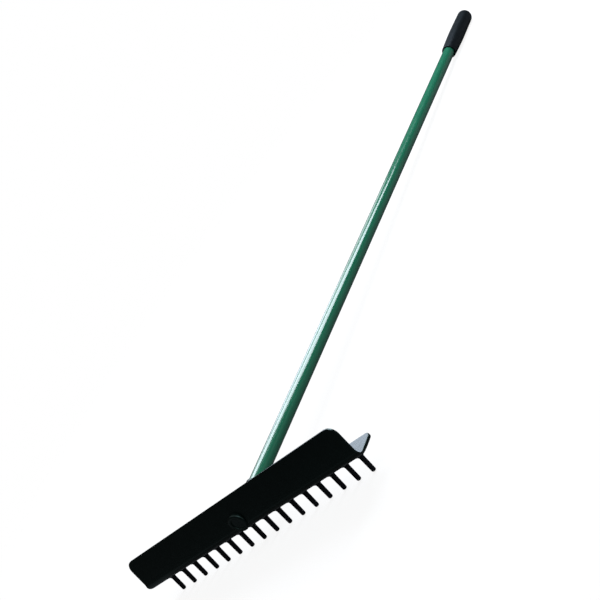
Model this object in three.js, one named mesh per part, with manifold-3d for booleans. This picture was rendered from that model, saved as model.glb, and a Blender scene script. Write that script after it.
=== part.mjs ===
// Golf bunker rake for use on both sides: a moulded head with a smoothing blade along
// one side and a comb of round tines along the other, on a straight tube handle with a grip.
// Millimetres, +Z up. The rake lies on level ground on its tine tips and the end of its grip.

import * as THREE from 'three';
import { mergeVertices } from 'three/addons/utils/BufferGeometryUtils.js';
import Module from 'manifold-3d';

const wasm = await Module();
wasm.setup();

// Head: blade and web form an angle section. Heights count from the sharp outer corner
// where the blade's front face would meet the web's underside.
const bladeWidth = 568;
const bladeHeight = 64.7;
const bladeThickness = 3;
const bladeCornerRadius = 17;
const endFlare = 2;
const endFlareRise = 6;
const endFlareRadius = 14;
const webDepth = 51.5;
const webThickness = 5.5;
const webCornerRadius = 13;
const footCornerRadius = 9;
const footLand = 1.5;
const bendRadius = 12;
const innerFilletRadius = 6;
const webEdgeRadius = 2.2;

// The web lies parallel to the handle, which leans up from square to the blade.
const handleTilt = THREE.MathUtils.degToRad(10.62);
const handleHeight = 20.5;

// Comb: one row of round pegs under a thicker rail.
const tineCount = 16;
const tineEndMargin = 29;
const tineRow = 31.7;
const tineLength = 30.6;
const tineRootRadius = 4;
const tineTipRadius = 3.7;
const tineTipRound = 2.6;
const tineFlareRadius = 4.5;
const tineStubRadius = 2.6;
const tineStubLength = 7;
const railWidth = 12.4;
const railDepth = 2.6;
const railEdgeRadius = 2;
const railEndMargin = 19;

// Triangular ribs that stiffen the blade from behind.
const gussetThickness = 3;
const gussetHeight = 44;
const gussetDepth = 44;
const gussetNose = 3;
const gussetPlaceShares = [-0.68, -0.2, 0.2, 0.68];

// Handle tube and the socket that holds it.
const handleReach = 1580;
const tubeDiameter = 25;
const tubeWall = 1.2;
const socketLength = 79;
const socketWall = 1.8;
const socketFrontRadius = 17.2;
const socketProud = 3.5;
const socketEndWall = 4;
const socketRimRadius = 3;
const socketDishRadius = 11;
const socketDishDepth = 1.6;

// Cross bolt through socket, tube and plug.
const boltDiameter = 6;
const boltPlace = 63;
const bossRadius = 7.5;
const bossReach = 18.5;
const boltHeadWidth = 10;
const boltHeadHeight = 4;
const nutHeight = 5;
const boltTail = 2.5;
const washerRadius = 6;
const washerThickness = 1.6;
const plugLength = 79;

// Grip.
const gripDiameter = 35.5;
const gripEndDiameter = 34.2;
const gripMouthDiameter = 32;
const gripTaperLength = 36;
const gripLength = 174;
const gripEndWall = 8;
const gripDomeRadius = 12;
const gripCrownRise = 1.2;
const gripLipRadius = 1.5;
const gripBellyShare = 0.42;

// Clearances and drawing settings.
const clearance = 0.3;
const overrun = 5;
const roundSides = 32;
const hexSides = 6;
const smallSides = 16;
const tineSides = 12;
const arcSteps = 5;
const outlineSteps = 4;

const webWidth = bladeWidth + 2 * endFlare;
const tinePitch = (bladeWidth - 2 * tineEndMargin) / (tineCount - 1);
const footHeight = footCornerRadius + footLand;
const tubeRadius = tubeDiameter / 2;
const socketBoreRadius = tubeRadius + clearance;
const socketMouthRadius = socketBoreRadius + socketWall;
const socketFloor = socketEndWall + socketDishDepth - socketProud;
const boltHoleRadius = boltDiameter / 2 + clearance;
const gripStart = handleReach - gripLength;
const railBottom = -railDepth;

const moulding = { color: 0x080b0c, roughness: 0.28, metalness: 0 };
const pegPlastic = { color: 0x0c0e18, roughness: 0.32, metalness: 0 };
const greenTube = { color: 0x2f6a4c, roughness: 0.3, metalness: 0.45 };
const gripVinyl = { color: 0x0e151c, roughness: 0.45, metalness: 0 };
const zincSteel = { color: 0xb4b8ba, roughness: 0.35, metalness: 1 };
const plugPlastic = { color: 0xd6d2c6, roughness: 0.6, metalness: 0 };

// Height of the web's underside and of its middle plane at a distance behind the blade's face.
const webUnderside = (y) => y * Math.tan(handleTilt);
const webMiddle = (y) => webUnderside(y) + webThickness / 2 / Math.cos(handleTilt);
const webTop = (y) => webUnderside(y) + webThickness / Math.cos(handleTilt);

// Solids and meshes

function toSolid(geometry) {
  const bare = geometry.clone();
  bare.deleteAttribute('normal');
  bare.deleteAttribute('uv');
  const merged = mergeVertices(bare);
  const corners = merged.index.array;
  const kept = [];
  for (let i = 0; i < corners.length; i += 3) {
    const [a, b, c] = [corners[i], corners[i + 1], corners[i + 2]];
    if (a !== b && b !== c && c !== a) kept.push(a, b, c);
  }
  return new wasm.Manifold(new wasm.Mesh({
    numProp: 3,
    vertProperties: new Float32Array(merged.attributes.position.array),
    triVerts: new Uint32Array(kept),
  }));
}

function toGeometry(solid) {
  const { vertProperties, triVerts } = solid.getMesh();
  const geometry = new THREE.BufferGeometry();
  geometry.setAttribute('position', new THREE.BufferAttribute(vertProperties, 3));
  geometry.setIndex(new THREE.BufferAttribute(triVerts, 1));
  geometry.computeVertexNormals();
  return geometry;
}

function named(name, geometry, look) {
  const mesh = new THREE.Mesh(geometry, new THREE.MeshStandardMaterial(look));
  mesh.name = name;
  return mesh;
}

// The arc that rounds a corner between two neighbours.
function cornerArc(before, at, after, radius) {
  const back = before.clone().sub(at).normalize();
  const ahead = after.clone().sub(at).normalize();
  const half = Math.acos(back.dot(ahead)) / 2;
  const start = at.clone().addScaledVector(back, radius / Math.tan(half));
  const end = at.clone().addScaledVector(ahead, radius / Math.tan(half));
  const inward = back.clone().add(ahead).normalize();
  const centre = at.clone().addScaledVector(inward, radius / Math.sin(half));
  const from = start.clone().sub(centre).angle();
  const to = end.clone().sub(centre).angle();
  return { start, centre, from, to, clockwise: back.cross(ahead) > 0 };
}

// An outline from corners [x, y, radius]: each corner with a radius becomes an arc.
function roundedOutline(corners) {
  const shape = new THREE.Shape();
  const places = corners.map(([x, y]) => new THREE.Vector2(x, y));
  corners.forEach(([x, y, radius], i) => {
    const draw = i === 0 ? 'moveTo' : 'lineTo';
    if (!radius) {
      shape[draw](x, y);
      return;
    }
    const after = places[(i + 1) % places.length];
    const arc = cornerArc(places.at(i - 1), places[i], after, radius);
    shape[draw](arc.start.x, arc.start.y);
    shape.absarc(arc.centre.x, arc.centre.y, radius, arc.from, arc.to, arc.clockwise);
  });
  shape.closePath();
  return shape;
}

function extruded(shape, depth, steps = outlineSteps) {
  return new THREE.ExtrudeGeometry(shape, { depth, bevelEnabled: false, curveSegments: steps });
}

// A side view, drawn in Y and Z, extruded along X and centred on x = middle.
function alongX(shape, width, middle = 0) {
  const turn = new THREE.Matrix4().makeBasis(
    new THREE.Vector3(0, 1, 0), new THREE.Vector3(0, 0, 1), new THREE.Vector3(1, 0, 0),
  );
  return extruded(shape, width).applyMatrix4(turn).translate(middle - width / 2, 0, 0);
}

// A front view, drawn in X and Z, extruded along Y from y = front to y = back.
function alongY(shape, front, back) {
  const turn = new THREE.Matrix4().makeBasis(
    new THREE.Vector3(1, 0, 0), new THREE.Vector3(0, 0, 1), new THREE.Vector3(0, -1, 0),
  );
  return extruded(shape, back - front).applyMatrix4(turn).translate(0, back, 0);
}

// A quarter or smaller arc as lathe points [radius, place], ends included.
function arcPoints(centreRadius, centrePlace, radius, from, to, steps = arcSteps) {
  const points = [];
  for (let i = 0; i <= steps; i += 1) {
    const angle = THREE.MathUtils.lerp(from, to, i / steps);
    points.push([centreRadius + radius * Math.cos(angle), centrePlace + radius * Math.sin(angle)]);
  }
  return points;
}

// A turned solid about the Y axis from points [radius, place].
function turned(points, sides) {
  return new THREE.LatheGeometry(points.map(([r, y]) => new THREE.Vector2(r, y)), sides);
}

// A plain round bar along Y.
function bar(radius, from, to, sides) {
  return turned([[0, from], [radius, from], [radius, to], [0, to]], sides);
}

// A plain ring about Y.
function ring(inside, outside, from, to, sides) {
  return turned([[inside, from], [outside, from], [outside, to], [inside, to], [inside, from]], sides);
}

// The handle's own frame: Y runs along the tube, from the blade's front face to the grip.
const handleFrame = new THREE.Matrix4()
  .makeRotationX(handleTilt)
  .setPosition(0, 0, handleHeight);

const acrossHandle = new THREE.Matrix4()
  .makeRotationZ(-Math.PI / 2)
  .setPosition(0, boltPlace, 0);

// Head moulding

// The side view of blade, bend and web.
function angleSection() {
  const rise = webThickness * Math.cos(handleTilt);
  const run = webThickness * Math.sin(handleTilt);
  return roundedOutline([
    [0, bladeHeight, 0],
    [0, 0, bendRadius],
    [webDepth, webUnderside(webDepth), webEdgeRadius],
    [webDepth - run, webUnderside(webDepth) + rise, webEdgeRadius],
    [bladeThickness, webTop(bladeThickness), innerFilletRadius],
    [bladeThickness, bladeHeight, 0],
  ]);
}

// The room below a plane that runs parallel to the web at the height of the foot.
function footRoom() {
  const back = webDepth + overrun;
  return roundedOutline([
    [-overrun, -overrun, 0],
    [back, -overrun, 0],
    [back, footHeight + webUnderside(back), 0],
    [-overrun, footHeight + webUnderside(-overrun), 0],
  ]);
}

// The blade's front view: round top corners, and a foot that flares out to the web's ends.
function bladeOutline() {
  const side = bladeWidth / 2;
  const foot = webWidth / 2;
  const flareTop = footHeight + endFlareRise;
  return roundedOutline([
    [-foot, 0, footCornerRadius],
    [foot, 0, footCornerRadius],
    [foot, footHeight, 0],
    [side, flareTop, endFlareRadius],
    [side, bladeHeight, bladeCornerRadius],
    [-side, bladeHeight, bladeCornerRadius],
    [-side, flareTop, endFlareRadius],
    [-foot, footHeight, 0],
  ]);
}

// The web's ends seen from the front, and its plan with round rear corners.
function webEndOutline() {
  const side = webWidth / 2;
  return roundedOutline([
    [-side, 0, footCornerRadius],
    [side, 0, footCornerRadius],
    [side, bladeHeight, 0],
    [-side, bladeHeight, 0],
  ]);
}

function webPlan() {
  const side = webWidth / 2;
  return roundedOutline([
    [-side, -overrun, 0],
    [side, -overrun, 0],
    [side, webDepth, webCornerRadius],
    [-side, webDepth, webCornerRadius],
  ]);
}

function blade(section) {
  const front = toSolid(alongY(bladeOutline(), -overrun, bladeThickness + innerFilletRadius));
  return section.intersect(front);
}

function web(section) {
  const room = toSolid(alongX(footRoom(), webWidth + 2 * overrun));
  const ends = toSolid(alongY(webEndOutline(), -overrun, webDepth + overrun));
  const plan = toSolid(extruded(webPlan(), bladeHeight).translate(0, 0, -overrun));
  return section.intersect(room).intersect(ends).intersect(plan);
}

function tineRail() {
  const front = tineRow - railWidth / 2;
  const back = tineRow + railWidth / 2;
  const length = bladeWidth - 2 * railEndMargin;
  return toSolid(alongX(roundedOutline([
    [front, webMiddle(front), 0],
    [front, railBottom, railEdgeRadius],
    [back, railBottom, railEdgeRadius],
    [back, webMiddle(back), 0],
  ]), length));
}

function gusset(share) {
  const root = bladeThickness / 2;
  return toSolid(alongX(roundedOutline([
    [root, gussetHeight, 0],
    [root, webMiddle(root), 0],
    [gussetDepth, webMiddle(gussetDepth), 0],
    [gussetDepth, webTop(gussetDepth) + gussetNose, gussetNose / 2],
    [bladeThickness, gussetHeight, 0],
  ]), gussetThickness, share * bladeWidth / 2));
}

// The socket's outside: a round front end proud of the blade, tapering to the mouth.
function socketBody() {
  const rimStart = socketFrontRadius - socketRimRadius;
  const rim = arcPoints(rimStart, socketRimRadius - socketProud, socketRimRadius, -Math.PI / 2, 0);
  return toSolid(turned([
    [0, -socketProud],
    ...rim,
    [socketMouthRadius, socketLength],
    [0, socketLength],
  ], roundSides).applyMatrix4(handleFrame));
}

// Upright cheeks that carry the socket down to the web, with no undercut between them.
function socketSaddle() {
  const drop = handleHeight * Math.cos(handleTilt) - webThickness / 2;
  const cheeks = roundedOutline([
    [-socketMouthRadius, -drop, 0],
    [socketMouthRadius, -drop, 0],
    [socketMouthRadius, 0, 0],
    [-socketMouthRadius, 0, 0],
  ]);
  const length = webDepth / Math.cos(handleTilt) - webEdgeRadius;
  return toSolid(alongY(cheeks, bladeThickness, length).applyMatrix4(handleFrame));
}

function boltBoss() {
  return toSolid(bar(bossRadius, -bossReach, bossReach, roundSides)
    .applyMatrix4(acrossHandle).applyMatrix4(handleFrame));
}

function socketCuts() {
  const bore = bar(socketBoreRadius, socketFloor, socketLength + overrun, roundSides);
  const dish = bar(socketDishRadius, -socketProud - overrun, socketDishDepth - socketProud, roundSides);
  const cross = bar(boltHoleRadius, -bossReach - overrun, bossReach + overrun, smallSides)
    .applyMatrix4(acrossHandle);
  return [bore, dish, cross].map((cut) => toSolid(cut.applyMatrix4(handleFrame)));
}

const tinePlace = (i) => (i - (tineCount - 1) / 2) * tinePitch;
const tinePlaces = Array.from({ length: tineCount }, (_, i) => tinePlace(i));

function stubHole(x) {
  const down = new THREE.Matrix4().makeRotationX(-Math.PI / 2).setPosition(x, tineRow, railBottom);
  const depth = tineStubLength + clearance;
  return toSolid(bar(tineStubRadius + clearance, -depth, overrun, tineSides).applyMatrix4(down));
}

function headMoulding() {
  const section = toSolid(alongX(angleSection(), webWidth + 2 * overrun));
  const added = [
    web(section), tineRail(), socketBody(), socketSaddle(), boltBoss(),
    ...gussetPlaceShares.map(gusset),
  ];
  const cut = [...socketCuts(), ...tinePlaces.map(stubHole)];
  const whole = added.reduce((sum, piece) => sum.add(piece), blade(section));
  const open = cut.reduce((sum, piece) => sum.subtract(piece), whole);
  return named('head_moulding', toGeometry(open), moulding);
}

// Comb

// A peg along Y: a stub for the rail's hole, a collar that flares out along the rail and is
// as deep as it, a tapered shank and a blunt tip with a round edge.
function tineGeometry() {
  const collar = tineRootRadius + tineFlareRadius;
  const flat = tineTipRadius - tineTipRound;
  const tip = arcPoints(flat, tineLength - tineTipRound, tineTipRound, 0, Math.PI / 2);
  const flareCentre = clearance + tineFlareRadius;
  const flare = arcPoints(collar, flareCentre, tineFlareRadius, -Math.PI / 2, -Math.PI, outlineSteps);
  const peg = turned([
    [0, -tineStubLength],
    [tineStubRadius, -tineStubLength],
    [tineStubRadius, clearance],
    ...flare,
    ...tip,
    [0, tineLength],
  ], tineSides);
  const slab = new THREE.BoxGeometry(2 * collar + overrun, 2 * (tineLength + overrun), railWidth);
  return toGeometry(toSolid(peg).intersect(toSolid(slab)));
}

function tine(x, i) {
  const peg = named(`tine_${String(i + 1).padStart(2, '0')}`, tineGeometry(), pegPlastic);
  peg.position.set(x, tineRow, railBottom);
  peg.rotation.x = -Math.PI / 2;
  return peg;
}

// Handle

const crossHole = () => toSolid(
  bar(boltHoleRadius, -bossReach, bossReach, smallSides).applyMatrix4(acrossHandle),
);

function handleTube() {
  const from = socketFloor + clearance;
  const to = handleReach - gripEndWall - clearance;
  const wall = ring(tubeRadius - tubeWall, tubeRadius, from, to, roundSides);
  return named('handle_tube', toGeometry(toSolid(wall).subtract(crossHole())), greenTube);
}

// A plug inside the tube's lower end, so that the bolt can't crush the tube.
function tubePlug() {
  const from = socketFloor + clearance;
  const core = toSolid(bar(tubeRadius - tubeWall - clearance, from, from + plugLength, roundSides));
  return named('tube_plug', toGeometry(core.subtract(crossHole())), plugPlastic);
}

function handleGrip() {
  const bore = tubeRadius + clearance;
  const end = gripEndDiameter / 2;
  const mouth = gripMouthDiameter / 2;
  const domeCentre = end - gripDomeRadius;
  const shoulder = gripLength - gripDomeRadius - gripCrownRise;
  const geometry = turned([
    [0, gripLength - gripEndWall],
    [bore, gripLength - gripEndWall],
    [bore, 0],
    ...arcPoints(mouth - gripLipRadius, gripLipRadius, gripLipRadius, -Math.PI / 2, 0, outlineSteps),
    [end, gripTaperLength],
    [gripDiameter / 2, gripLength * gripBellyShare],
    ...arcPoints(domeCentre, shoulder, gripDomeRadius, 0, Math.PI / 2),
    [0, gripLength],
  ], roundSides).translate(0, gripStart, 0);
  return named('handle_grip', geometry, gripVinyl);
}

// Cross bolt, with X along the bolt from nut to head

const seat = bossReach + clearance;
const washerBack = seat + washerThickness + clearance;

function hexPrism(width, height) {
  const corner = width / 2 / Math.cos(Math.PI / hexSides);
  return new THREE.CylinderGeometry(corner, corner, height, hexSides);
}

function crossBolt() {
  const tail = washerBack + nutHeight + boltTail;
  const headMiddle = washerBack + boltHeadHeight / 2;
  const shank = toSolid(bar(boltDiameter / 2, -tail, headMiddle, smallSides));
  const head = toSolid(hexPrism(boltHeadWidth, boltHeadHeight).translate(0, headMiddle, 0));
  return named('socket_bolt', toGeometry(shank.add(head)), zincSteel);
}

function nut() {
  const middle = -washerBack - nutHeight / 2;
  const blank = toSolid(hexPrism(boltHeadWidth, nutHeight).translate(0, middle, 0));
  const bore = toSolid(bar(boltHoleRadius, middle - nutHeight, 0, smallSides));
  return named('socket_nut', toGeometry(blank.subtract(bore)), zincSteel);
}

function washer(name, from) {
  const geometry = ring(boltHoleRadius, washerRadius, from, from + washerThickness, smallSides);
  return named(name, geometry, zincSteel);
}

function boltSet() {
  const set = new THREE.Group();
  set.add(crossBolt(), nut());
  set.add(washer('washer_under_head', seat));
  set.add(washer('washer_under_nut', -seat - washerThickness));
  set.position.y = boltPlace;
  set.rotation.z = -Math.PI / 2;
  return set;
}

// Assembly

function handle() {
  const group = new THREE.Group();
  group.add(handleTube(), tubePlug(), handleGrip(), boltSet());
  group.position.z = handleHeight;
  group.rotation.x = handleTilt;
  return group;
}

// The angle of the line that touches the round edges of a tine's tip and of the grip's end.
function restAngle() {
  const flat = tineTipRadius - tineTipRound;
  const tip = new THREE.Vector2(tineRow + flat, railBottom - tineLength + tineTipRound);
  const place = handleReach - gripCrownRise - gripDomeRadius;
  const edge = new THREE.Vector3(0, place, gripDomeRadius - gripEndDiameter / 2);
  edge.applyMatrix4(handleFrame);
  const line = new THREE.Vector2(edge.y, edge.z).sub(tip);
  return line.angle() - Math.asin((gripDomeRadius - tineTipRound) / line.length());
}

// The whole rake turned to lie on the ground, with its origin at the foot of its middle.
function rake() {
  const whole = new THREE.Group();
  whole.add(headMoulding(), ...tinePlaces.map(tine), handle());
  whole.rotation.x = -restAngle();
  const placed = new THREE.Group();
  placed.add(whole);
  placed.updateMatrixWorld(true);
  const box = new THREE.Box3().setFromObject(placed, true);
  const middle = box.getCenter(new THREE.Vector3());
  placed.position.set(-middle.x, -middle.y, -box.min.z);
  placed.updateMatrixWorld(true);
  return placed;
}

export default rake();
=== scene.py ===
"""Golf bunker rake: finished surfaces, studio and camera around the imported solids."""
import math

import bmesh
import bpy
from mathutils import Matrix, Vector

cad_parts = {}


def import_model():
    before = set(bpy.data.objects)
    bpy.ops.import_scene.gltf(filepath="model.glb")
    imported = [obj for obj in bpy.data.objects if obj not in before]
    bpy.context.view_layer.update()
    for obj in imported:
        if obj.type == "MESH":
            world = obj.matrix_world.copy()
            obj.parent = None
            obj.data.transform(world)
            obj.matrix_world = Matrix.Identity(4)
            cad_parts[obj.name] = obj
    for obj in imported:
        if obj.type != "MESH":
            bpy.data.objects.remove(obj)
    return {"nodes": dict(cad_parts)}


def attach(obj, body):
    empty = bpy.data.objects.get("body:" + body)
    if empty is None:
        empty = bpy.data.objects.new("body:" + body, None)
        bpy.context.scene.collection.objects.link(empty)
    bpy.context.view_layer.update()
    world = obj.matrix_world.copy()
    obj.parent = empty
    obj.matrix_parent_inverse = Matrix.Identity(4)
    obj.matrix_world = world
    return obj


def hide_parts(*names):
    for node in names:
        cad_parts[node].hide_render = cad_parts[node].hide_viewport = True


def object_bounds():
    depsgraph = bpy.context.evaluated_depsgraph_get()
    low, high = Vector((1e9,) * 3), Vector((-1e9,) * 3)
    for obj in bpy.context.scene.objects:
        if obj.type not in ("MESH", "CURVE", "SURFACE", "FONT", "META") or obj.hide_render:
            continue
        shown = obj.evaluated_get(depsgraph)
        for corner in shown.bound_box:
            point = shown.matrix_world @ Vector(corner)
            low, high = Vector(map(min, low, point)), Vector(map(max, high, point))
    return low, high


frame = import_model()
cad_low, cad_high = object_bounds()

# Sizes in millimetres, the same as in the solids. The head's own frame has X along the head,
# Y back towards the grip and Z up; heights count from the sharp outer corner of the angle.
MM = 0.001

# Head: blade, web and the bend between them
blade_width = 568
blade_height = 64.7
blade_thickness = 3
blade_corner_radius = 17
end_flare = 2
end_flare_rise = 6
end_flare_radius = 14
web_depth = 51.5
web_thickness = 5.5
web_corner_radius = 13
foot_corner_radius = 9
foot_land = 1.5
bend_radius = 12
inner_fillet_radius = 6
web_edge_radius = 2.2
edge_softness = 0.25
web_softness = 1.4
fillet_inset = 0.3

# The handle's axis in the head's frame: its slope, and its height above the outer corner
handle_tilt = math.radians(10.62)
handle_height = 20.5

# Comb
tine_count = 16
tine_end_margin = 29
tine_row = 31.7
tine_length = 30.6
tine_root_radius = 4
tine_tip_radius = 3.7
tine_tip_round = 2.6
tine_flare_radius = 4.5
tine_stub_radius = 2.6
tine_stub_length = 7
rail_width = 12.4
rail_depth = 2.6
rail_edge_radius = 2
rail_end_margin = 19

# Ribs behind the blade
rib_thickness = 3
rib_height = 44
rib_depth = 44
rib_nose = 3
rib_root_radius = 2
rib_edge_radius = 1.2
rib_root_depths = (0, 0.15, 0.5, 1.1)
rib_edge_angles = (0, 0.5, 1.0, 1.35)
rib_place_shares = (-0.68, -0.2, 0.2, 0.68)

# Tube and socket
handle_reach = 1580
tube_radius = 12.5
tube_wall = 1.2
socket_length = 79
socket_wall = 1.8
socket_front_radius = 17.2
socket_proud = 3.5
socket_end_wall = 4
socket_rim_radius = 3
socket_dish_radius = 11
socket_dish_depth = 1.6
socket_dish_edge_share = 0.4

# Cross bolt
bolt_radius = 3
bolt_place = 63
boss_radius = 7.5
boss_reach = 18.5
boss_edge_width = 0.8
bolt_head_width = 10
bolt_head_height = 4
nut_height = 5
hex_sides = 6
hex_chamfer_angle = math.radians(30)
bolt_tail = 2.5
washer_radius = 6
washer_thickness = 1.6
thread_pitch = 1
thread_depth = 0.45

# Grip
grip_radius = 17.75
grip_end_radius = 17.1
grip_mouth_radius = 16
grip_taper_length = 36
grip_length = 174
grip_end_wall = 8
grip_dome_radius = 12
grip_crown_rise = 1.2
grip_lip_radius = 1.5
grip_crown_shares = (0.8, 0.6, 0.4, 0.2, 0)
grip_belly_share = 0.42

# Fits, and how finely round forms are divided
clearance = 0.3
overrun = 5
sliver = clearance / 10
merge_distance = clearance / 100
round_sides = 72
washer_sides = 48
bolt_sides = 32
tine_sides = 28
arc_step = math.radians(7)
plate_edge_steps = 4
sharp_angle = math.radians(38)

# Worked out from the sizes above
web_width = blade_width + 2 * end_flare
foot_height = foot_corner_radius + foot_land
tine_pitch = (blade_width - 2 * tine_end_margin) / (tine_count - 1)
rail_bottom = -rail_depth
socket_bore_radius = tube_radius + clearance
socket_mouth_radius = socket_bore_radius + socket_wall
socket_wall_middle = socket_bore_radius + socket_wall / 2
socket_floor = socket_end_wall + socket_dish_depth - socket_proud
bolt_hole_radius = bolt_radius + clearance
grip_start = handle_reach - grip_length
grip_shoulder = grip_length - grip_dome_radius - grip_crown_rise
seat = boss_reach + clearance
washer_back = seat + washer_thickness + clearance


def swung(point, angle):
    """A point (Y, Z) of the side view turned about X."""
    y, z = point
    return (
        y * math.cos(angle) - z * math.sin(angle),
        y * math.sin(angle) + z * math.cos(angle),
    )


def beside_handle(place, rise):
    """The point (Y, Z) in the head's frame at a place along the handle's axis, and above it."""
    y, z = swung((place, rise), handle_tilt)
    return y, z + handle_height


# At rest a level line touches the round edges of the tips and of the grip's end. The end of the
# grip is the rearmost point of the part's box.
tip_edge = (
    tine_row + tine_tip_radius - tine_tip_round,
    rail_bottom - tine_length + tine_tip_round,
)
grip_edge = beside_handle(grip_start + grip_shoulder, grip_dome_radius - grip_end_radius)
edge_run = grip_edge[0] - tip_edge[0]
edge_rise = grip_edge[1] - tip_edge[1]
rest_tilt = math.atan2(edge_rise, edge_run) - math.asin(
    (grip_dome_radius - tine_tip_round) / math.hypot(edge_run, edge_rise)
)
head_origin = (
    0,
    cad_high[1] / MM - swung(beside_handle(handle_reach, 0), -rest_tilt)[0],
    tine_tip_round - swung(tip_edge, -rest_tilt)[1],
)

head_frame = (
    Matrix.Scale(MM, 4)
    @ Matrix.Translation(head_origin)
    @ Matrix.Rotation(-rest_tilt, 4, "X")
)
handle_frame = (
    head_frame
    @ Matrix.Translation((0, 0, handle_height))
    @ Matrix.Rotation(handle_tilt, 4, "X")
)
bolt_frame = (
    handle_frame
    @ Matrix.Translation((0, bolt_place, 0))
    @ Matrix.Rotation(-math.pi / 2, 4, "Z")
)


def web_underside(y):
    """The height of the web's underside at a distance behind the blade's face."""
    return y * math.tan(handle_tilt)


def web_middle(y):
    """The height of the web's middle at a distance behind the blade's face."""
    return web_underside(y) + web_thickness / 2 / math.cos(handle_tilt)


def web_top(y):
    """The height of the web's top at a distance behind the blade's face."""
    return web_underside(y) + web_thickness / math.cos(handle_tilt)


# Outlines and meshes


def arc(centre, radius, start, end):
    """Points of an arc from one angle to another, both ends included."""
    steps = max(2, math.ceil(abs(end - start) / arc_step))
    angles = [start + (end - start) * i / steps for i in range(steps + 1)]
    return [(centre[0] + radius * math.cos(a), centre[1] + radius * math.sin(a)) for a in angles]


def corner_arc(before, at, after, radius):
    """The arc that rounds a corner between two neighbours."""
    at = Vector(at)
    back = (Vector(before) - at).normalized()
    ahead = (Vector(after) - at).normalized()
    half = math.acos(back.dot(ahead)) / 2
    centre = at + (back + ahead).normalized() * radius / math.sin(half)
    start = at + back * radius / math.tan(half) - centre
    end = at + ahead * radius / math.tan(half) - centre
    first = math.atan2(start.y, start.x)
    turn = math.atan2(start.x * end.y - start.y * end.x, start.dot(end))
    return arc(centre, radius, first, first + turn)


def rounded_outline(corners):
    """An outline from corners (x, y, radius)."""
    points = []
    for i, (x, y, radius) in enumerate(corners):
        after = corners[(i + 1) % len(corners)][:2]
        if radius:
            points += corner_arc(corners[i - 1][:2], (x, y), after, radius)
        else:
            points.append((x, y))
    return points


def finished(bm):
    """The mesh of a bmesh, with its normals outwards."""
    bmesh.ops.recalc_face_normals(bm, faces=bm.faces)
    mesh = bpy.data.meshes.new("work")
    bm.to_mesh(mesh)
    bm.free()
    return mesh


def prism(outline, low, high, place):
    """A straight prism; place(u, v, w) turns outline and depth into X, Y and Z."""
    bm = bmesh.new()
    ends = [[bm.verts.new(place(u, v, w)) for u, v in outline] for w in (low, high)]
    bm.faces.new(ends[0])
    bm.faces.new(ends[1])
    for i in range(len(outline)):
        bm.faces.new((ends[0][i - 1], ends[0][i], ends[1][i], ends[1][i - 1]))
    return finished(bm)


def along_x(outline, width):
    """A prism along X from an outline (Y, Z)."""
    return prism(outline, -width / 2, width / 2, lambda u, v, w: (w, u, v))


def along_y(outline, front, back):
    """A prism along Y from an outline (X, Z)."""
    return prism(outline, front, back, lambda u, v, w: (u, w, v))


def along_z(outline, low, high):
    """A prism along Z from an outline (X, Y)."""
    return prism(outline, low, high, lambda u, v, w: (u, v, w))


def plate(outline, thickness, softness, place):
    """A flat plate with round edges. outline(inset) gives its outline moved inwards."""
    angles = [math.pi / 2 * i / plate_edge_steps for i in range(plate_edge_steps + 1)]
    layers = [(softness * (1 - math.sin(a)), softness * (1 - math.cos(a))) for a in angles]
    layers += [(inset, thickness - depth) for inset, depth in reversed(layers)]
    bm = bmesh.new()
    rings = [
        [bm.verts.new(place(u, v, depth)) for u, v in outline(inset)] for inset, depth in layers
    ]
    bm.faces.new(rings[0])
    bm.faces.new(rings[-1])
    for one, two in zip(rings, rings[1:]):
        for i in range(len(one)):
            bm.faces.new((one[i - 1], one[i], two[i], two[i - 1]))
    return finished(bm)


def turned(profile, sides, closed=False, squeeze=None):
    """A turned body about Y from points (radius, place). squeeze(radius) is the Z radius."""
    bm = bmesh.new()
    rings = []
    for radius, place in profile:
        if radius < merge_distance:
            rings.append([bm.verts.new((0, place, 0))])
            continue
        depth = squeeze(radius) if squeeze else radius
        angles = [2 * math.pi * i / sides for i in range(sides)]
        rings.append([
            bm.verts.new((radius * math.cos(a), place, depth * math.sin(a))) for a in angles
        ])
    pairs = list(zip(rings, rings[1:]))
    if closed:
        pairs.append((rings[-1], rings[0]))
    for one, two in pairs:
        for i in range(sides):
            corners = (one[i % len(one)], one[(i + 1) % len(one)],
                       two[(i + 1) % len(two)], two[i % len(two)])
            bm.faces.new(list(dict.fromkeys(corners)))
    return finished(bm)


def bar(radius, start, end, sides=round_sides):
    """A plain round bar along Y."""
    return turned([(0, start), (radius, start), (radius, end), (0, end)], sides)


def placed(mesh, matrix):
    """The mesh moved into the frame that the matrix gives."""
    mesh.transform(matrix)
    return mesh


def worked(mesh, kind, settings):
    """The mesh after a modifier."""
    held = bpy.data.objects.new("work", mesh)
    bpy.context.scene.collection.objects.link(held)
    modifier = held.modifiers.new(kind.title(), kind)
    for name, value in settings.items():
        setattr(modifier, name, value)
    depsgraph = bpy.context.evaluated_depsgraph_get()
    result = bpy.data.meshes.new_from_object(held.evaluated_get(depsgraph))
    bpy.data.objects.remove(held)
    return result


def combined(operation, base, *tools):
    """The base mesh joined with, cut by or kept within each tool mesh."""
    for tool in tools:
        other = bpy.data.objects.new("tool", tool)
        bpy.context.scene.collection.objects.link(other)
        settings = {"operation": operation, "solver": "EXACT", "object": other}
        base = worked(base, "BOOLEAN", settings)
        bpy.data.objects.remove(other)
    return base


def bevelled(mesh, width):
    """The mesh with its sharp edges rounded."""
    settings = {
        "width": width, "segments": 3, "limit_method": "ANGLE",
        "angle_limit": math.radians(40), "use_clamp_overlap": False,
    }
    return worked(mesh, "BEVEL", settings)


def joined(*meshes):
    """Several closed meshes as one, each left as it is."""
    bm = bmesh.new()
    for mesh in meshes:
        bm.from_mesh(mesh)
    return finished(bm)


# Materials

noise_low = 0.3
noise_high = 0.7
noise_detail = 4
rough_patch_ratio = 2.3
finishes = {}


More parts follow.
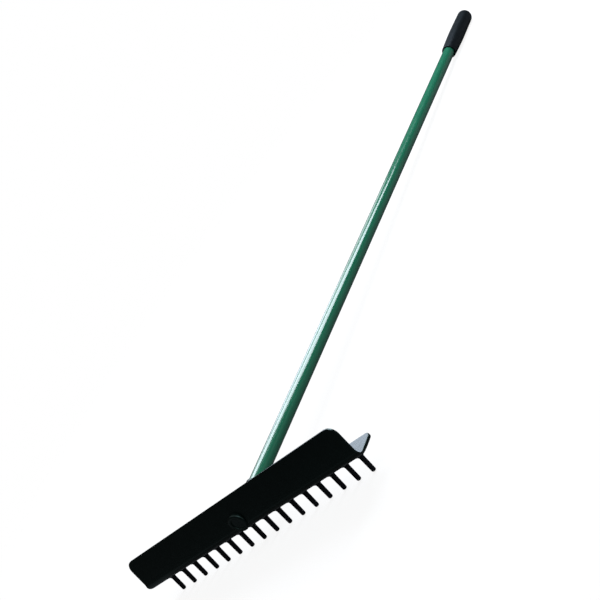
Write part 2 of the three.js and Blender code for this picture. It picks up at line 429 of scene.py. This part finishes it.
def node(tree, kind, **inputs):
    """A new shader node with some of its inputs set."""
    made = tree.nodes.new(kind)
    for name, value in inputs.items():
        made.inputs[name.replace("_", " ")].default_value = value
    return made


def noise(tree, scale, stretch):
    """Noise in the piece's own frame, with features of about 1 / scale metres."""
    place = tree.nodes.new("ShaderNodeTexCoord")
    mapping = tree.nodes.new("ShaderNodeMapping")
    mapping.inputs["Scale"].default_value = stretch
    made = node(tree, "ShaderNodeTexNoise", Scale=scale, Detail=noise_detail)
    tree.links.new(place.outputs["Object"], mapping.inputs["Vector"])
    tree.links.new(mapping.outputs["Vector"], made.inputs["Vector"])
    return made.outputs["Fac"]


def spread(tree, value, low, high):
    """Maps the middle of a noise onto the range low to high."""
    made = node(
        tree, "ShaderNodeMapRange",
        From_Min=noise_low, From_Max=noise_high, To_Min=low, To_Max=high,
    )
    tree.links.new(value, made.inputs["Value"])
    return made.outputs["Result"]


def mixed(tree, factor, one, two):
    """A colour between two colours."""
    made = tree.nodes.new("ShaderNodeMix")
    made.data_type = "RGBA"
    tree.links.new(factor, made.inputs["Factor"])
    made.inputs["A"].default_value = (*one, 1)
    made.inputs["B"].default_value = (*two, 1)
    return made.outputs["Result"]


def surface(name, colours, rough, bumps, settings, stretch=(1, 1, 1), patch=60):
    """Adds a finish: mottled colour, uneven roughness and bumps (scale, height in metres)."""
    made = bpy.data.materials.new(name)
    made.use_nodes = True
    tree = made.node_tree
    shader = tree.nodes["Principled BSDF"]
    for socket, value in settings.items():
        shader.inputs[socket].default_value = value
    tone = spread(tree, noise(tree, patch, stretch), 0, 1)
    tree.links.new(mixed(tree, tone, *colours), shader.inputs["Base Color"])
    rough_noise = spread(tree, noise(tree, patch * rough_patch_ratio, stretch), *rough)
    tree.links.new(rough_noise, shader.inputs["Roughness"])
    normal = None
    for scale, height in bumps:
        bump = node(tree, "ShaderNodeBump", Strength=1, Distance=height)
        tree.links.new(noise(tree, scale, stretch), bump.inputs["Height"])
        if normal:
            tree.links.new(normal, bump.inputs["Normal"])
        normal = bump.outputs["Normal"]
    tree.links.new(normal, shader.inputs["Normal"])
    finishes[name] = made


surface(
    "head_plastic",
    colours=((0.0014, 0.0036, 0.0033), (0.0028, 0.0054, 0.0051)),
    rough=(0.18, 0.24),
    bumps=((900, 0.000002), (140, 0.00001)),
    settings={"IOR": 1.5, "Specular IOR Level": 0.45, "Specular Tint": (0.62, 1, 0.95, 1)},
)
surface(
    "tine_plastic",
    colours=((0.004, 0.005, 0.009), (0.0065, 0.008, 0.014)),
    rough=(0.2, 0.32),
    bumps=((1100, 0.000005), (260, 0.00001)),
    settings={"IOR": 1.5, "Specular IOR Level": 0.3},
)
surface(
    "green_tube",
    colours=((0.0145, 0.188, 0.1), (0.021, 0.222, 0.12)),
    rough=(0.2, 0.28),
    bumps=((1500, 0.000003), (300, 0.000004)),
    settings={
        "IOR": 1.5, "Specular IOR Level": 0.3,
        "Coat Weight": 1, "Coat Roughness": 0.06, "Coat IOR": 1.5,
    },
    stretch=(1, 0.06, 1),
    patch=240,
)
surface(
    "grip_vinyl",
    colours=((0.0008, 0.0024, 0.003), (0.0016, 0.0036, 0.0044)),
    rough=(0.42, 0.52),
    bumps=((700, 0.00003), (120, 0.00005)),
    settings={"IOR": 1.5, "Specular IOR Level": 0.34, "Specular Tint": (0.66, 0.83, 1, 1)},
)
surface(
    "zinc_steel",
    colours=((0.56, 0.57, 0.56), (0.68, 0.69, 0.7)),
    rough=(0.24, 0.4),
    bumps=((1800, 0.000008), (500, 0.00001)),
    settings={"Metallic": 1.0},
)
surface(
    "plug_plastic",
    colours=((0.58, 0.55, 0.49), (0.66, 0.63, 0.57)),
    rough=(0.5, 0.65),
    bumps=((900, 0.00001), (200, 0.00002)),
    settings={"IOR": 1.5},
)


def piece(name, mesh, slot, *nodes):
    """Adds a finished piece that rides on the body and stands for CAD nodes."""
    mesh.name = name
    mesh.materials.clear()
    mesh.materials.append(finishes[slot])
    mesh.shade_smooth()
    mesh.set_sharp_from_angle(angle=sharp_angle)
    made = bpy.data.objects.new(name, mesh)
    normals = made.modifiers.new("Normals", "WEIGHTED_NORMAL")
    normals.keep_sharp = True
    bpy.context.scene.collection.objects.link(made)
    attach(made, "root")
    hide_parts(*nodes)


# Head


def blade_outline(inset):
    """The front view: round top corners, and a foot that flares out to the web's ends."""
    side = blade_width / 2 - inset
    foot = web_width / 2 - inset
    flare_top = foot_height + end_flare_rise
    top = (blade_height - inset, blade_corner_radius - inset)
    return rounded_outline([
        (-foot, inset, foot_corner_radius - inset),
        (foot, inset, foot_corner_radius - inset),
        (foot, foot_height, 0),
        (side, flare_top, end_flare_radius + inset),
        (side, *top),
        (-side, *top),
        (-side, flare_top, end_flare_radius + inset),
        (-foot, foot_height, 0),
    ])


def web_outline(inset):
    """The web's plan along its slope: square at the blade, round at the rear corners."""
    side = web_width / 2 - inset
    front = blade_thickness + inset
    rear = web_depth / math.cos(handle_tilt) - inset
    return rounded_outline([
        (-side, front, 0), (side, front, 0),
        (side, rear, web_corner_radius - inset), (-side, rear, web_corner_radius - inset),
    ])


def web_ends():
    """The web's ends seen from the front, with round lower corners."""
    side = web_width / 2
    return rounded_outline([
        (-side, 0, foot_corner_radius), (side, 0, foot_corner_radius),
        (side, blade_height, 0), (-side, blade_height, 0),
    ])


def outer_bend():
    """The round bend from the blade's front face to the web's underside."""
    back = (web_depth, web_underside(web_depth))
    return corner_arc((0, blade_height), (0, 0), back, bend_radius)


def bend_room():
    """The corner in front of and below the bend, where nothing is left standing."""
    bend = outer_bend()
    below = -overrun - rail_depth
    high = bend[0][1] + clearance
    back = bend[-1][0] + clearance
    start = (-sliver, high)
    end = (back, web_underside(back) - sliver)
    return [(-overrun, below), (-overrun, high), start, *bend[1:-1], end, (back, below)]


def inner_fillet():
    """What fills the corner between the blade's rear face and the web's top."""
    corner = (blade_thickness, web_top(blade_thickness))
    back = (web_depth, web_top(web_depth))
    curve = corner_arc((blade_thickness, blade_height), corner, back, inner_fillet_radius)
    high = curve[0][1] + clearance
    far = curve[-1][0] + clearance
    start = (blade_thickness - sliver, high)
    end = (far, web_top(far) - sliver)
    middle = blade_thickness / 2
    return [(middle, high), start, *curve[1:-1], end, (far, web_middle(far)), (middle, 0)]


def rail():
    """The low rail under the web that carries the comb."""
    front = tine_row - rail_width / 2
    back = tine_row + rail_width / 2
    return along_x(rounded_outline([
        (front, web_middle(front), 0),
        (front, rail_bottom, rail_edge_radius),
        (back, rail_bottom, rail_edge_radius),
        (back, web_middle(back), 0),
    ]), blade_width - 2 * rail_end_margin)


def shell():
    """Blade, bend, web and rail, with softened edges."""
    slope = Matrix.Rotation(handle_tilt, 4, "X")
    blade = plate(blade_outline, blade_thickness, edge_softness, lambda u, v, w: (u, w, v))
    web = plate(web_outline, web_thickness, web_softness, lambda u, v, w: (u, v, w))
    ends = along_y(web_ends(), -overrun, web_depth + overrun)
    web = combined("INTERSECT", placed(web, slope), ends)
    trim = along_y(blade_outline(fillet_inset), -overrun, web_depth)
    fillet = combined("INTERSECT", along_x(inner_fillet(), web_width + 2 * overrun), trim)
    whole = combined("UNION", blade, web, fillet)
    whole = combined("DIFFERENCE", whole, along_x(bend_room(), web_width + 2 * overrun))
    return combined("UNION", whole, rail())


def rib_half_thickness(depth, length):
    """Half the rib's thickness at a depth from its root, on a line of a given length."""
    root = max(0, rib_root_radius - max(depth, 0))
    flare = rib_root_radius - math.sqrt(rib_root_radius ** 2 - root ** 2)
    edge = max(0, rib_edge_radius - (length - depth))
    rounding = 1 - math.sqrt(max(0, 1 - (edge / rib_edge_radius) ** 2))
    return (rib_thickness / 2 + flare) * (1 - rounding)


def rib(x):
    """A rib with a flared root and a rounded free edge."""
    inner = rounded_outline([
        (blade_thickness, rib_height - rib_edge_radius, 0),
        (blade_thickness, web_top(blade_thickness), inner_fillet_radius),
        (rib_depth, web_top(rib_depth), 0),
    ])
    top = Vector((blade_thickness + rib_edge_radius, rib_height))
    nose = Vector((rib_depth, web_top(rib_depth) + rib_nose))
    corner = Vector((blade_thickness, web_top(blade_thickness)))
    bm = bmesh.new()
    columns = []
    for i, point in enumerate(inner):
        start = Vector(point)
        share = i / (len(inner) - 1)
        end = top.lerp(nose, share)
        ray = end - start
        length = ray.length
        ray.normalize()
        depths = [-rib_root_radius / 2, *rib_root_depths, rib_root_radius]
        depths += [length - rib_edge_radius * (1 - math.sin(a)) for a in rib_edge_angles]
        depths = sorted(min(d, length) for d in depths) + [length]
        columns.append([(start + ray * d, rib_half_thickness(d, length)) for d in depths])
    left, right = (
        [[bm.verts.new((x + sign * half, p.x, p.y)) for p, half in column] for column in columns]
        for sign in (-1, 1)
    )
    rows = len(columns[0])
    for grid in (left, right):
        for one, two in zip(grid, grid[1:]):
            for j in range(rows - 1):
                bm.faces.new((one[j], one[j + 1], two[j + 1], two[j]))
    for i in range(len(columns) - 1):
        bm.faces.new((left[i][0], left[i + 1][0], right[i + 1][0], right[i][0]))
    for one, two in ((left[0], right[0]), (left[-1], right[-1])):
        for j in range(rows - 1):
            bm.faces.new((one[j], one[j + 1], two[j + 1], two[j]))
    bmesh.ops.remove_doubles(bm, verts=bm.verts, dist=merge_distance)
    return finished(bm)


def socket_body():
    """The socket's wall: dished front end, rounded rims, taper, and the bore for the tube."""
    rim = socket_front_radius - socket_rim_radius
    dish = socket_dish_radius
    dish_floor = socket_dish_depth - socket_proud
    soft = socket_dish_depth * socket_dish_edge_share
    profile = [(0, dish_floor)]
    profile += arc((dish - soft, dish_floor - soft), soft, math.pi / 2, 0)
    profile += arc((dish + soft, soft - socket_proud), soft, math.pi, 3 * math.pi / 2)
    profile += arc((rim, socket_rim_radius - socket_proud), socket_rim_radius, -math.pi / 2, 0)
    lip = socket_wall / 3
    profile += arc((socket_mouth_radius - lip, socket_length - lip), lip, 0, math.pi / 2)
    profile += arc((socket_bore_radius + lip, socket_length - lip), lip, math.pi / 2, math.pi)
    profile += [(socket_bore_radius, socket_floor), (0, socket_floor)]
    return turned(profile, round_sides)


def saddle():
    """The block on the web that the socket lies in, in the handle's frame."""
    drop = handle_height * math.cos(handle_tilt) - web_thickness / 2
    side = socket_mouth_radius
    back = web_depth / math.cos(handle_tilt) - web_edge_radius
    block = along_z(rounded_outline([
        (-side, blade_thickness, 0), (side, blade_thickness, 0),
        (side, back, web_edge_radius), (-side, back, web_edge_radius),
    ]), -drop, 0)
    return combined("DIFFERENCE", block, bar(socket_wall_middle, 0, web_depth * 2))


def head():
    """The moulding. What meets the socket is first cut to the middle of the socket's wall."""
    to_head = head_frame.inverted() @ handle_frame
    bolt_to_head = head_frame.inverted() @ bolt_frame
    boss = bevelled(bar(boss_radius, -boss_reach, boss_reach), boss_edge_width)
    core = placed(bar(socket_wall_middle, -socket_proud - overrun, socket_length), to_head)
    boss = combined("DIFFERENCE", placed(boss, bolt_to_head), core)
    hub = combined("UNION", placed(socket_body(), to_head), placed(saddle(), to_head), boss)
    cross = bar(bolt_hole_radius, -boss_reach - overrun, boss_reach + overrun, bolt_sides)
    hub = combined("DIFFERENCE", hub, placed(cross, bolt_to_head))
    ribs = [rib(share * blade_width / 2) for share in rib_place_shares]
    whole = combined("DIFFERENCE", combined("UNION", shell(), *ribs), core)
    whole = combined("UNION", whole, hub)
    return placed(whole, head_frame)


# Comb


def tine(x):
    """A peg with a flared collar, a slightly tapered shank and a blunt, round-edged tip."""
    flare = tine_flare_radius
    collar = tine_root_radius + flare
    flat_tip = tine_tip_radius - tine_tip_round
    tip = (flat_tip, tine_length - tine_tip_round)
    profile = [(0, -tine_stub_length), (tine_stub_radius, -tine_stub_length)]
    profile += [(tine_stub_radius, clearance)]
    profile += arc((collar, clearance + flare), flare, -math.pi / 2, -math.pi)
    profile += arc(tip, tine_tip_round, 0, math.pi / 2)
    profile += [(0, tine_length)]
    flat = rail_width / 2 - clearance
    flat_share = (flat - tine_root_radius) / flare

    def squeeze(radius):
        """Keeps the collar within the rail's width."""
        return min(radius, tine_root_radius + (radius - tine_root_radius) * flat_share)

    mesh = turned(profile, tine_sides, squeeze=squeeze)
    root = Matrix.Translation((x, tine_row, rail_bottom))
    return placed(mesh, head_frame @ root @ Matrix.Rotation(-math.pi / 2, 4, "X"))


# Handle


def tube():
    """The tube with rounded ends and the bolt's cross hole."""
    start = socket_floor + clearance
    end = handle_reach - grip_end_wall - clearance
    inside = tube_radius - tube_wall
    soft = tube_wall / 4
    profile = []
    for radius, place, turn in (
        (tube_radius - soft, start + soft, -math.pi / 2), (tube_radius - soft, end - soft, 0),
        (inside + soft, end - soft, math.pi / 2), (inside + soft, start + soft, math.pi),
    ):
        profile += arc((radius, place), soft, turn, turn + math.pi / 2)
    wall = placed(turned(profile, round_sides, closed=True), handle_frame)
    hole = placed(bar(bolt_hole_radius, -boss_reach, boss_reach, bolt_sides), bolt_frame)
    return combined("DIFFERENCE", wall, hole)


def grip_curve(steps=24):
    """Radii along the grip from its mouth to the start of its dome, as a smooth line."""
    knots = [
        (grip_lip_radius, grip_mouth_radius), (grip_taper_length, grip_end_radius),
        (grip_length * grip_belly_share, grip_radius), (grip_shoulder, grip_end_radius),
    ]
    points = []
    for k, ((y0, r0), (y1, r1)) in enumerate(zip(knots, knots[1:])):
        before = knots[max(k - 1, 0)]
        after = knots[min(k + 2, len(knots) - 1)]
        slope0 = (r1 - before[1]) / (y1 - before[0])
        slope1 = (after[1] - r0) / (after[0] - y0)
        for i in range(steps):
            t = i / steps
            span = y1 - y0
            value = (
                (2 * t ** 3 - 3 * t ** 2 + 1) * r0 + (t ** 3 - 2 * t ** 2 + t) * span * slope0
                + (3 * t ** 2 - 2 * t ** 3) * r1 + (t ** 3 - t ** 2) * span * slope1
            )
            points.append((value, y0 + span * t))
    return points


def grip():
    """The sleeve: a bore for the tube, a round lip, a bellied body and a crowned dome."""
    bore = tube_radius + clearance
    bottom = grip_length - grip_end_wall
    mouth = grip_mouth_radius - grip_lip_radius
    profile = [(0, bottom), (bore, bottom), (bore, 0)]
    profile += arc((mouth, grip_lip_radius), grip_lip_radius, -math.pi / 2, 0)[:-1]
    profile += grip_curve()
    rim = grip_end_radius - grip_dome_radius
    profile += arc((rim, grip_shoulder), grip_dome_radius, 0, math.pi / 2)
    profile += [
        (rim * share, grip_length - grip_crown_rise * share ** 2) for share in grip_crown_shares
    ]
    mesh = turned(profile, round_sides)
    return placed(mesh, handle_frame @ Matrix.Translation((0, grip_start, 0)))


# Cross bolt, along the Y axis of its own frame


def hexagon(width, low, high):
    """A hexagonal block whose corners are turned off at both ends."""
    corner = width / 2 / math.cos(math.pi / hex_sides)
    angles = [2 * math.pi * i / hex_sides for i in range(hex_sides)]
    block = along_y([(corner * math.cos(a), corner * math.sin(a)) for a in angles], low, high)
    chamfer = (corner - width / 2) * math.tan(hex_chamfer_angle)
    turned_off = turned([
        (0, low), (width / 2, low), (corner, low + chamfer),
        (corner, high - chamfer), (width / 2, high), (0, high),
    ], round_sides)
    return combined("INTERSECT", block, turned_off)


def thread(start, end, sides=bolt_sides, steps_per_turn=4):
    """A shank with a helical thread, closed at both ends."""
    bm = bmesh.new()
    count = int((end - start) / thread_pitch * steps_per_turn)
    rings = []
    for k in range(count + 1):
        ring = []
        for i in range(sides):
            a = 2 * math.pi * i / sides
            place = start + (end - start) * k / count
            phase = (place / thread_pitch - i / sides) % 1
            depth = thread_depth * (1 - abs(2 * phase - 1))
            radius = bolt_radius - depth
            ring.append(bm.verts.new((radius * math.cos(a), place, radius * math.sin(a))))
        rings.append(ring)
    for one, two in zip(rings, rings[1:]):
        for i in range(sides):
            bm.faces.new((one[i], one[(i + 1) % sides], two[(i + 1) % sides], two[i]))
    bm.faces.new(rings[0])
    bm.faces.new(rings[-1])
    return finished(bm)


def cross_bolt():
    """The bolt: its head on one washer, its thread through the nut beyond the other."""
    tail = washer_back + nut_height + bolt_tail
    threaded = thread(-tail, -boss_reach)
    shank = bar(bolt_radius, -boss_reach, washer_back + bolt_head_height / 2, bolt_sides)
    hexed = hexagon(bolt_head_width, washer_back, washer_back + bolt_head_height)
    return placed(joined(threaded, combined("UNION", hexed, shank)), bolt_frame)


def nut():
    """The hexagonal nut, with a plain bore."""
    blank = hexagon(bolt_head_width, -washer_back - nut_height, -washer_back)
    bore = bar(bolt_hole_radius, -washer_back - nut_height - overrun, 0, bolt_sides)
    return placed(combined("DIFFERENCE", blank, bore), bolt_frame)


def washer(start):
    """A washer with bevelled outer edges."""
    end = start + washer_thickness
    soft = washer_thickness / 5
    profile = [
        (bolt_hole_radius, start), (washer_radius - soft, start),
        (washer_radius, start + soft), (washer_radius, end - soft),
        (washer_radius - soft, end), (bolt_hole_radius, end),
    ]
    return placed(turned(profile, washer_sides, closed=True), bolt_frame)


# Pieces

piece("head", head(), "head_plastic", "head_moulding")
for index in range(tine_count):
    node_name = f"tine_{index + 1:02d}"
    across = (index - (tine_count - 1) / 2) * tine_pitch
    piece(f"{node_name}_peg", tine(across), "tine_plastic", node_name)
piece("tube", tube(), "green_tube", "handle_tube")
piece("grip", grip(), "grip_vinyl", "handle_grip")
piece("bolt", cross_bolt(), "zinc_steel", "socket_bolt")
piece("nut", nut(), "zinc_steel", "socket_nut")
piece("washer_head_side", washer(seat), "zinc_steel", "washer_under_head")
piece("washer_nut_side", washer(-seat - washer_thickness), "zinc_steel", "washer_under_nut")
plug = frame["nodes"]["tube_plug"]
plug.data.materials.clear()
plug.data.materials.append(finishes["plug_plastic"])

# Studio, in metres

floor_radius = 1.7
floor_fade = 0.5
floor_drop = 0.0003
floor_tone = (0.13, 0.13, 0.13)
camera_floor_tone = (0.86, 0.86, 0.86)
floor_glow_share = 0.78
floor_glow = 1.12
studio_base_level = 0.04
studio_top_start = 0.55
studio_top_level = 0.5
studio_right_start = 0.6
studio_right_level = 0.5
camera_place = (1.58385, -1.98691, 0.69498)
camera_aim = (-0.0179, -0.29986, 0.10487)
camera_roll = math.radians(-51.973)
focal_length_mm = 81.527
sensor_width_mm = 36
clip_near = 0.05
clip_far = 50


def gradient(tree, value, low, high):
    """A smooth step from 0 at low to 1 at high."""
    made = node(tree, "ShaderNodeMapRange", From_Min=low, From_Max=high)
    made.interpolation_type = "SMOOTHSTEP"
    tree.links.new(value, made.inputs["Value"])
    return made.outputs["Result"]


def floor_material():
    """A floor that is pale for the camera, keeps the shadow and fades out at its rim."""
    made = bpy.data.materials.new("studio_floor")
    made.use_nodes = True
    tree = made.node_tree
    tree.nodes.clear()
    out = tree.nodes.new("ShaderNodeOutputMaterial")
    diffuse = tree.nodes.new("ShaderNodeBsdfDiffuse")
    light = node(tree, "ShaderNodeEmission", Color=(1, 1, 1, 1), Strength=floor_glow)
    clear = tree.nodes.new("ShaderNodeBsdfTransparent")
    seen = tree.nodes.new("ShaderNodeMixShader")
    faded = tree.nodes.new("ShaderNodeMixShader")
    path = tree.nodes.new("ShaderNodeLightPath")
    tone = mixed(tree, path.outputs["Is Camera Ray"], floor_tone, camera_floor_tone)
    tree.links.new(tone, diffuse.inputs["Color"])
    share = node(tree, "ShaderNodeMath")
    share.operation = "MULTIPLY"
    share.inputs[1].default_value = floor_glow_share
    tree.links.new(path.outputs["Is Camera Ray"], share.inputs[0])
    tree.links.new(share.outputs[0], seen.inputs[0])
    tree.links.new(diffuse.outputs[0], seen.inputs[1])
    tree.links.new(light.outputs[0], seen.inputs[2])
    place = tree.nodes.new("ShaderNodeTexCoord")
    length = tree.nodes.new("ShaderNodeVectorMath")
    length.operation = "LENGTH"
    tree.links.new(place.outputs["Object"], length.inputs[0])
    rim = gradient(tree, length.outputs["Value"], floor_radius - floor_fade, floor_radius)
    tree.links.new(rim, faded.inputs[0])
    tree.links.new(seen.outputs[0], faded.inputs[1])
    tree.links.new(clear.outputs[0], faded.inputs[2])
    tree.links.new(faded.outputs[0], out.inputs[0])
    return made


def floor():
    """A round floor just under the ground, so that nothing lies in its plane."""
    bm = bmesh.new()
    bmesh.ops.create_circle(bm, cap_ends=True, segments=96, radius=floor_radius)
    mesh = finished(bm)
    mesh.materials.append(floor_material())
    made = bpy.data.objects.new("floor", mesh)
    bpy.context.scene.collection.objects.link(made)
    made.location = (0, 0, -floor_drop)


def glow(tree, value, low, level, base=0):
    """The base plus a level that comes up as the value goes from low to 1."""
    made = node(tree, "ShaderNodeMath")
    made.operation = "MULTIPLY_ADD"
    made.inputs[1].default_value = level
    made.inputs[2].default_value = base
    tree.links.new(gradient(tree, value, low, 1), made.inputs[0])
    return made


def world():
    """White for the camera; for everything else dim, brighter overhead and at the right."""
    made = bpy.data.worlds.new("studio")
    bpy.context.scene.world = made
    made.use_nodes = True
    tree = made.node_tree
    tree.nodes.clear()
    out = tree.nodes.new("ShaderNodeOutputWorld")
    background = tree.nodes.new("ShaderNodeBackground")
    tree.links.new(background.outputs[0], out.inputs[0])
    place = tree.nodes.new("ShaderNodeTexCoord")
    sides = tree.nodes.new("ShaderNodeSeparateXYZ")
    tree.links.new(place.outputs["Generated"], sides.inputs[0])
    top = glow(tree, sides.outputs["Z"], studio_top_start, studio_top_level, studio_base_level)
    right = glow(tree, sides.outputs["X"], studio_right_start, studio_right_level)
    tree.links.new(top.outputs[0], right.inputs[2])
    path = tree.nodes.new("ShaderNodeLightPath")
    strength = tree.nodes.new("ShaderNodeMix")
    tree.links.new(path.outputs["Is Camera Ray"], strength.inputs["Factor"])
    tree.links.new(right.outputs[0], strength.inputs["A"])
    strength.inputs["B"].default_value = 1
    tree.links.new(strength.outputs["Result"], background.inputs["Strength"])
    background.inputs["Color"].default_value = (1, 1, 1, 1)


def aimed(name, data, place, aim, roll):
    """An object of the lamp or camera, aimed at a point and rolled about its own axis."""
    made = bpy.data.objects.new(name, data)
    bpy.context.scene.collection.objects.link(made)
    facing = (Vector(aim) - Vector(place)).to_track_quat("-Z", "Y").to_matrix()
    turn = facing @ Matrix.Rotation(roll, 3, "Z")
    made.matrix_world = Matrix.Translation(place) @ turn.to_4x4()
    return made


def softbox(name, place, aim, size, level, roll=0, tint=(0.88, 0.94, 1)):
    """A rectangular lamp whose face has the radiance level."""
    lamp = bpy.data.lights.new(name, "AREA")
    lamp.shape = "RECTANGLE"
    lamp.size, lamp.size_y = size
    lamp.energy = level * math.pi * size[0] * size[1]
    lamp.color = tint
    aimed(name, lamp, place, aim, roll)


def camera():
    """The photograph's view: a long lens, low over the floor and rolled."""
    lens = bpy.data.cameras.new("camera")
    lens.lens = focal_length_mm
    lens.sensor_width = sensor_width_mm
    lens.clip_start = clip_near
    lens.clip_end = clip_far
    bpy.context.scene.camera = aimed("camera", lens, camera_place, camera_aim, camera_roll)


floor()
world()
softbox(
    "softbox_key", place=(0.022, 1.129, 1.647), aim=(0, -0.3, 0.05), size=(0.79, 2.16),
    level=8.2, roll=-0.998, tint=(0.83, 0.9, 1),
)
softbox(
    "softbox_back_left", place=(-2.084, 2.44, 2.257), aim=(0, -0.3, 0.05), size=(2.03, 2.09),
    level=2, roll=0.6,
)
softbox(
    "softbox_low", place=(-1.06, 0.67, 0.54), aim=(0.27, -0.74, 0.05), size=(0.5, 0.5),
    level=2.9, tint=(0.74, 0.82, 1),
)
softbox("softbox_fill", place=(1.6, -1.0, 1.8), aim=(0, 0, 0), size=(1.5, 1.5), level=1.7)
camera()
bpy.context.scene.view_settings.view_transform = "Standard"
